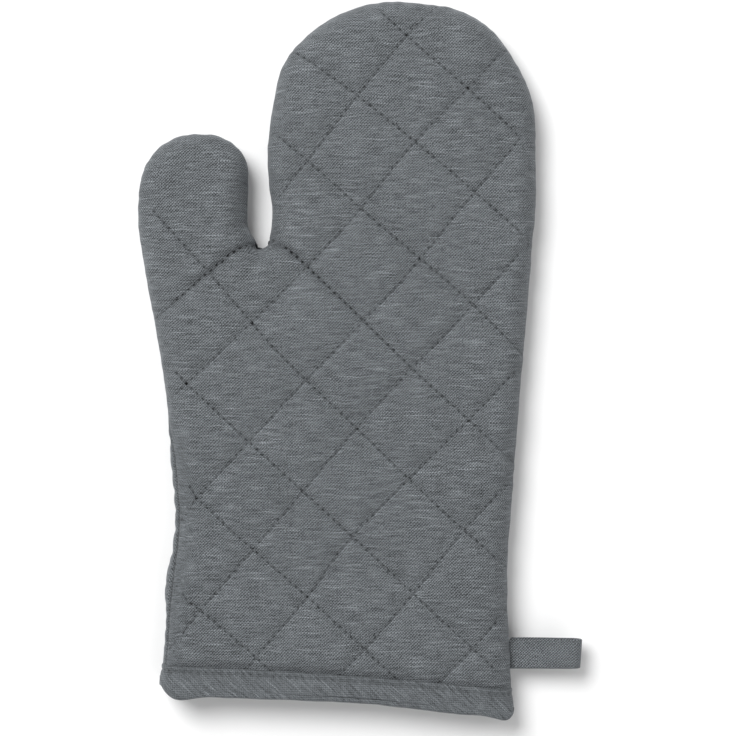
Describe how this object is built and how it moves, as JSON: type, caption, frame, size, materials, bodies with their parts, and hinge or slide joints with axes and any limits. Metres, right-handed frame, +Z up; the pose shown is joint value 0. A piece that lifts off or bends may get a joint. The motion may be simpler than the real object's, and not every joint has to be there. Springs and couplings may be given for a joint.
{
  "type": "oven mitt",
  "caption": "Quilted oven mitt in grey chambray, with padded layers, a bias-bound cuff, a separate thumb and a folded hanging loop.",
  "frame": {"origin": "below the middle of the mitt and its loop, on the surface that it lies on", "axes": "+Z up from the surface, +Y from the cuff to the fingertips, thumb on the -X side and hanging loop on the +X side"},
  "size_m": [0.2114, 0.3187, 0.0234],
  "materials": {
    "shell_cloth": "plain-woven grey chambray with pale horizontal slubs, matt with a faint sheen",
    "wadding": "off-white needled cotton and polyester wadding, fluffy and matt",
    "lining_cloth": "plain-woven mid-grey cotton, matt",
    "quilting_thread": "grey spun polyester thread, slight sheen",
    "seam_thread": "grey spun polyester thread, slight sheen",
    "binding_tape": "bias-cut grey chambray tape, slubs running diagonally",
    "loop_tape": "folded grey chambray tape, slubs running across it"
  },
  "bodies": {
    "hand": {"back_lining_knuckles": "lining_cloth", "back_lining_palm": "lining_cloth", "back_lining_thumb_fold": "lining_cloth", "back_quilting_palm": "quilting_thread", "back_shell_knuckles": "shell_cloth", "back_shell_palm": "shell_cloth", "back_shell_thumb_fold": "shell_cloth", "back_wadding_knuckles": "wadding", "back_wadding_palm": "wadding", "back_wadding_thumb_fold": "wadding", "binding_stitching": "seam_thread", "cuff_binding": "binding_tape", "front_lining_knuckles": "lining_cloth", "front_lining_palm": "lining_cloth", "front_lining_thumb_fold": "lining_cloth", "front_quilting_palm": "quilting_thread", "front_shell_knuckles": "shell_cloth", "front_shell_palm": "shell_cloth", "front_shell_thumb_fold": "shell_cloth", "front_wadding_knuckles": "wadding", "front_wadding_palm": "wadding", "front_wadding_thumb_fold": "wadding", "loop_tail": "loop_tape", "side_seam_stitching_palm": "seam_thread"},
    "fingers": {"back_lining_fingers": "lining_cloth", "back_quilting_fingers": "quilting_thread", "back_shell_fingers": "shell_cloth", "back_wadding_fingers": "wadding", "front_lining_fingers": "lining_cloth", "front_quilting_fingers": "quilting_thread", "front_shell_fingers": "shell_cloth", "front_wadding_fingers": "wadding", "side_seam_stitching_fingers": "seam_thread"},
    "thumb": {"back_lining_thumb": "lining_cloth", "back_quilting_thumb": "quilting_thread", "back_shell_thumb": "shell_cloth", "back_wadding_thumb": "wadding", "front_lining_thumb": "lining_cloth", "front_quilting_thumb": "quilting_thread", "front_shell_thumb": "shell_cloth", "front_wadding_thumb": "wadding", "side_seam_stitching_thumb": "seam_thread"},
    "loop": {"hanging_loop": "loop_tape"}
  },
  "joints": [
    {"name": "finger_flex", "type": "hinge", "parent": "hand", "child": "fingers", "pos_m": [0, 0.062, 0.0117], "axis": [1, 0, 0], "range_deg": [-60, 60], "stiffness_Nm_per_rad": 0.12, "deforming": ["back_lining_knuckles", "back_shell_knuckles", "back_wadding_knuckles", "front_lining_knuckles", "front_shell_knuckles", "front_wadding_knuckles"]},
    {"name": "thumb_flex", "type": "hinge", "parent": "hand", "child": "thumb", "pos_m": [-0.0497, 0.0585, 0.0117], "axis": [0.7547, 0.6561, 0], "range_deg": [-45, 45], "stiffness_Nm_per_rad": 0.05, "deforming": ["back_lining_thumb_fold", "back_shell_thumb_fold", "back_wadding_thumb_fold", "front_lining_thumb_fold", "front_shell_thumb_fold", "front_wadding_thumb_fold"]},
    {"name": "loop_swing", "type": "hinge", "parent": "hand", "child": "loop", "pos_m": [0.0754, -0.127, 0.0117], "axis": [0, 1, 0], "range_deg": [-90, 90], "stiffness_Nm_per_rad": 0.004}
  ]
}
